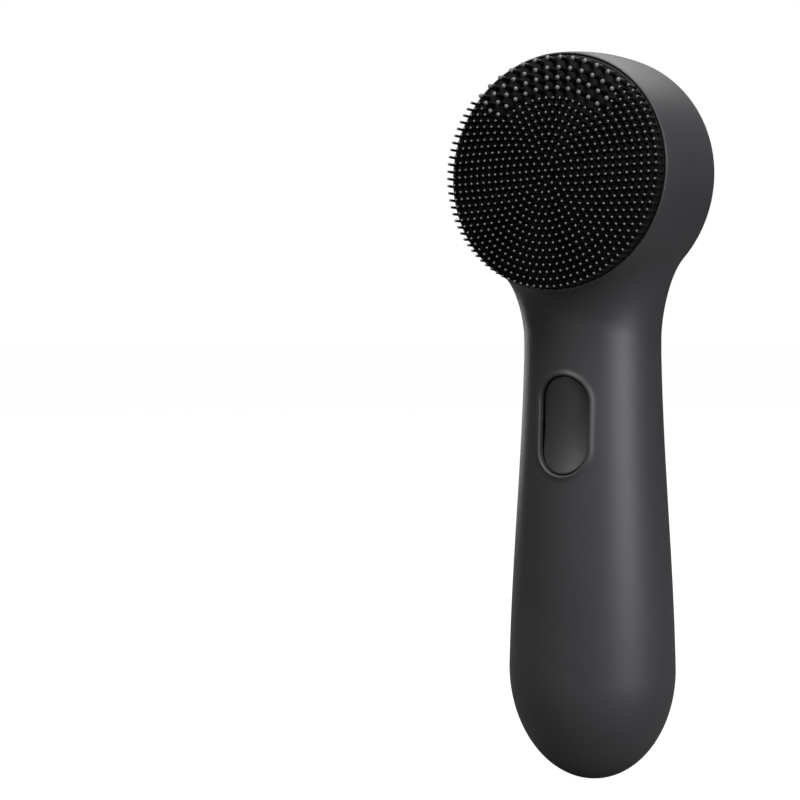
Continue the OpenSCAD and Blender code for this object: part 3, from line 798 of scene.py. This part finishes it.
# The pieces inside, by material slot: darker and lighter colour, roughness, metal, coat.
INSIDE = {
    "core_plastic": ((0.006, 0.006, 0.0065), (0.0085, 0.0085, 0.009), (0.38, 0.50), 0, 0),
    "white_plastic": ((0.56, 0.56, 0.54), (0.64, 0.64, 0.62), (0.38, 0.50), 0, 0),
    "seal_rubber": ((0.008, 0.008, 0.009), (0.014, 0.014, 0.015), (0.55, 0.70), 0, 0),
    "steel": ((0.46, 0.46, 0.48), (0.58, 0.58, 0.60), (0.22, 0.38), 1, 0),
    "nickel": ((0.58, 0.56, 0.52), (0.70, 0.68, 0.64), (0.14, 0.26), 1, 0),
    "bronze": ((0.40, 0.24, 0.09), (0.52, 0.33, 0.14), (0.32, 0.48), 1, 0),
    "copper_winding": ((0.42, 0.13, 0.04), (0.60, 0.22, 0.08), (0.20, 0.34), 1, 0.4),
    "cell_wrap": ((0.010, 0.045, 0.20), (0.014, 0.060, 0.26), (0.22, 0.32), 0, 0.3),
    "board": ((0.006, 0.050, 0.018), (0.010, 0.075, 0.028), (0.28, 0.40), 0, 0.2),
    "chip": ((0.006, 0.006, 0.006), (0.012, 0.012, 0.012), (0.42, 0.58), 0, 0),
    "foam": ((0.012, 0.012, 0.014), (0.030, 0.030, 0.033), (0.80, 0.95), 0, 0),
    "lead_red": ((0.28, 0.006, 0.006), (0.36, 0.012, 0.010), (0.30, 0.42), 0, 0),
    "lead_black": ((0.006, 0.006, 0.006), (0.010, 0.010, 0.010), (0.30, 0.42), 0, 0),
}
GRAINS = {"foam": (2600.0, 0.25), "copper_winding": (4000.0, 0.06), "seal_rubber": (5000.0, 0.03)}
finishes = {
    "soft_touch": soft, "bristle_silicone": pad_mat, "gloss_black": gloss, "flap_soft": flap_mat,
}
for slot, (dark, light, rough, metal, coat) in INSIDE.items():
    grain, bump = GRAINS.get(slot, (7000.0, 0.015))
    finishes[slot] = material(
        slot, dark, light, rough, grain=grain, cloud=180.0, bump=bump, metal=metal, coat=coat
    )
for part in frame["record"]["subparts"]:
    data = frame["nodes"][part["node"]].data
    data.materials.clear()
    data.materials.append(finishes[part["material_slot"]])

# ---- pieces ----------------------------------------------------------------------------------

sleeve = make_sleeve(soft)
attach(sleeve, "housing")
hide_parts("outer_sleeve")

button = make_button(soft)
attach(button, "button")
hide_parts("button_cap")

panel = make_panel(gloss)
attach(panel, "housing")
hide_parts("rear_panel")

scoop = make_scoop(gloss)
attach(scoop, "housing")

flap = make_flap(flap_mat)
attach(flap, "flap")
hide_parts("port_flap")

mark = make_mark(mark_mat)
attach(mark, "flap")

pad = make_pad(pad_mat)
fine_places, thick_places = bristle_places()
bristle_mats = [rod_mat, tip_highlight_mat]
fine = make_bristles("fine_bristles", fine_places, FINE_R, 10, bristle_mats)
thick = make_bristles("massage_bristles", thick_places, THICK_R, 14, bristle_mats)
for piece in (pad, fine, thick):
    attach(piece, "housing")
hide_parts("brush_pad")

# ---- camera, light and floor -----------------------------------------------------------------


def add_camera():
    """The view of the brush face from the front right, a little above the middle."""
    data = bpy.data.cameras.new("camera")
    data.lens, data.sensor_width = 58.5, 36.0
    cam = bpy.data.objects.new("camera", data)
    bpy.context.scene.collection.objects.link(cam)
    azimuth, elevation, distance = math.radians(24.5), math.radians(4), 0.3025
    back = Vector((
        math.sin(azimuth) * math.cos(elevation), -math.cos(azimuth) * math.cos(elevation),
        math.sin(elevation),
    ))
    cam.location = Vector((0, 0, 0.0834)) + back * distance
    turn = math.radians(8.4)
    cam.rotation_euler = (math.radians(86.4), math.radians(0.45), azimuth + turn)
    data.shift_y = 0.010
    data.clip_start, data.clip_end = 0.01, 20
    bpy.context.scene.camera = cam


def add_light(name, place, aim, size, power, colour=(1, 1, 1)):
    """A soft box at a place, turned to a point. Lengths are in metres."""
    data = bpy.data.lights.new(name, "AREA")
    data.shape = "RECTANGLE"
    data.size, data.size_y = size
    data.energy, data.color = power, colour
    obj = bpy.data.objects.new(name, data)
    bpy.context.scene.collection.objects.link(obj)
    obj.location = place
    obj.rotation_euler = (Vector(aim) - Vector(place)).to_track_quat("-Z", "Y").to_euler()


add_camera()
add_light("key", (0.70, -0.19, 0.24), (0, 0, 0.09), (0.32, 0.5), 4.9, (0.97, 0.98, 1.0))
add_light("top", (0.05, -0.28, 0.72), (0, 0, 0.14), (0.5, 0.3), 4.2)
add_light("front_top", (0.0, -0.62, 0.58), (0, 0, 0.09), (0.4, 0.3), 2.2)
add_light("back_top", (0.0, 0.35, 0.65), (0, 0, 0.12), (0.5, 0.4), 2.0)
add_light("left", (-0.6, 0.42, 0.15), (0, 0, 0.08), (0.12, 0.6), 1.1)

# The floor is lit like the world behind it, but only for the camera.
FLOOR_GLOW, FLOOR_SIZE, WORLD_LIGHT = 0.97, 6000, 0.09


def make_floor():
    """A plain pale floor that takes the shadow."""
    finish, tree, shader = nodes_of("floor")
    shader.inputs["Base Color"].default_value = (0.14, 0.14, 0.14, 1)
    shader.inputs["Roughness"].default_value = 0.8
    shader.inputs["Specular IOR Level"].default_value = 0.1
    shader.inputs["Emission Color"].default_value = (1, 1, 1, 1)
    path = tree.nodes.new("ShaderNodeLightPath")
    glow = tree.nodes.new("ShaderNodeMath")
    glow.operation = "MULTIPLY"
    glow.inputs[1].default_value = FLOOR_GLOW
    tree.links.new(path.outputs["Is Camera Ray"], glow.inputs[0])
    tree.links.new(glow.outputs[0], shader.inputs["Emission Strength"])
    corners = [[x * FLOOR_SIZE, y * FLOOR_SIZE, 0] for x, y in ((-1, -1), (1, -1), (1, 1), (-1, 1))]
    return add_object("floor", corners, [[0, 1, 2, 3]], [finish], smooth=False)


def make_world():
    """White where the camera sees it, and a weak light everywhere else."""
    world = bpy.data.worlds.new("studio")
    world.use_nodes = True
    bpy.context.scene.world = world
    tree = world.node_tree
    tree.nodes.clear()
    out = tree.nodes.new("ShaderNodeOutputWorld")
    mix = tree.nodes.new("ShaderNodeMixShader")
    path = tree.nodes.new("ShaderNodeLightPath")
    tree.links.new(path.outputs["Is Camera Ray"], mix.inputs[0])
    for socket, strength in ((1, WORLD_LIGHT), (2, 1.0)):
        light = tree.nodes.new("ShaderNodeBackground")
        light.inputs["Color"].default_value = (1, 1, 1, 1)
        light.inputs["Strength"].default_value = strength
        tree.links.new(light.outputs[0], mix.inputs[socket])
    tree.links.new(mix.outputs[0], out.inputs["Surface"])


floor = make_floor()
make_world()
bpy.context.scene.view_settings.view_transform = "Standard"
